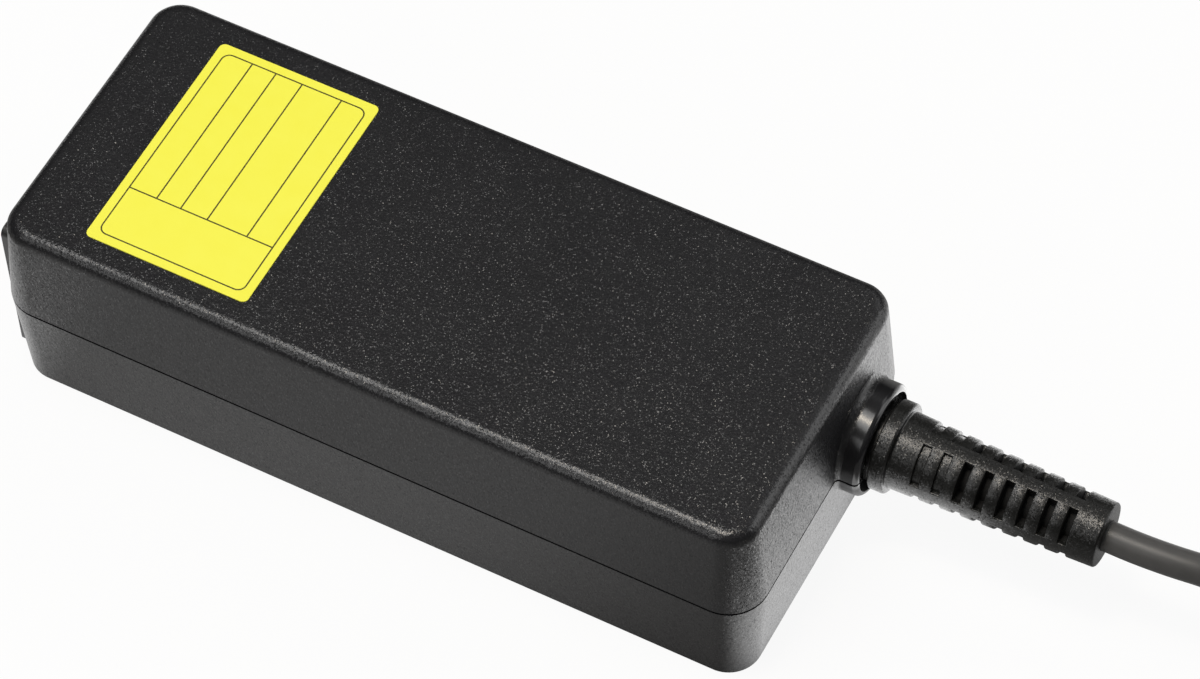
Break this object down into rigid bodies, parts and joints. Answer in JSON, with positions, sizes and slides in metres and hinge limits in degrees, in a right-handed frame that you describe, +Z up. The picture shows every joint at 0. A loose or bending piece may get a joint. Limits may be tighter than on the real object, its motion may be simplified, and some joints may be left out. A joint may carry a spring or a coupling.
{
  "type": "laptop power adapter",
  "caption": "Sealed black mains power brick for a laptop, with a two-pin inlet, a slotted strain relief and a low-voltage lead coiled up to a straight barrel plug.",
  "frame": {"origin": "centre of the underside of the case", "axes": "+X along the case towards the low-voltage lead, +Y across it towards the side on which the lead leaves, +Z up, out of the labelled top"},
  "size_m": [0.23, 0.0609, 0.0301],
  "materials": {
    "case_plastic": "fine spark texture, black",
    "yellow_film": "satin film",
    "plate_film": "satin film",
    "inlet_plastic": "moulded",
    "plug_insulation": "moulded",
    "nickel_plate": "plated",
    "board_laminate": "solder mask",
    "insulating_film": "flexible film",
    "fuse_case": "moulded",
    "film_capacitor_case": "moulded",
    "blue_disc_coating": "dipped",
    "dark_disc_coating": "dipped",
    "bobbin_plastic": "moulded",
    "ferrite": "sintered",
    "enamelled_wire": "enamelled",
    "winding_tape": "wound film tape",
    "package_epoxy": "moulded",
    "capacitor_sleeve": "shrunk film sleeve",
    "white_epoxy": "moulded",
    "sheet_aluminium": "mill finish",
    "zinc_steel": "zinc plated",
    "pad_silicone": "soft pad",
    "red_insulation": "extruded",
    "black_insulation": "extruded",
    "cord_jacket": "extruded, matt",
    "relief_rubber": "moulded, fine grain",
    "strap_band": "soft band",
    "contact_brass": "drawn"
  },
  "bodies": {
    "root": {"bottom_shell": "case_plastic", "top_shell": "case_plastic", "top_label": "yellow_film", "rating_label": "plate_film", "inlet_panel": "inlet_plastic", "inlet_body": "inlet_plastic", "inlet_pins": "nickel_plate", "circuit_board": "board_laminate", "insulation_sheet": "insulating_film", "fuse": "fuse_case", "x_capacitor": "film_capacitor_case", "surge_varistor": "blue_disc_coating", "inrush_thermistor": "dark_disc_coating", "choke_base": "bobbin_plastic", "choke_core": "ferrite", "choke_windings": "enamelled_wire", "bridge_rectifier": "package_epoxy", "y_capacitors": "blue_disc_coating", "bulk_capacitor": "capacitor_sleeve", "primary_heatsink": "sheet_aluminium", "primary_transistor": "package_epoxy", "primary_screw": "zinc_steel", "controller_chip": "package_epoxy", "transformer_bobbin": "bobbin_plastic", "transformer_windings": "winding_tape", "transformer_core": "ferrite", "optocoupler": "white_epoxy", "output_heatsink": "sheet_aluminium", "output_rectifier": "package_epoxy", "output_screw": "zinc_steel", "output_capacitors": "capacitor_sleeve", "insulation_liner": "insulating_film", "heat_spreader": "sheet_aluminium", "thermal_pad": "pad_silicone", "positive_wire": "red_insulation", "negative_wire": "black_insulation", "cord_end": "cord_jacket", "strain_relief": "relief_rubber", "cord_run": "cord_jacket", "cord_coil": "cord_jacket", "cord_tail": "cord_jacket", "coil_strap": "strap_band", "plug_grip": "relief_rubber", "plug_barrel": "nickel_plate", "plug_insulator": "plug_insulation", "plug_contact": "contact_brass"}
  },
  "joints": []
}
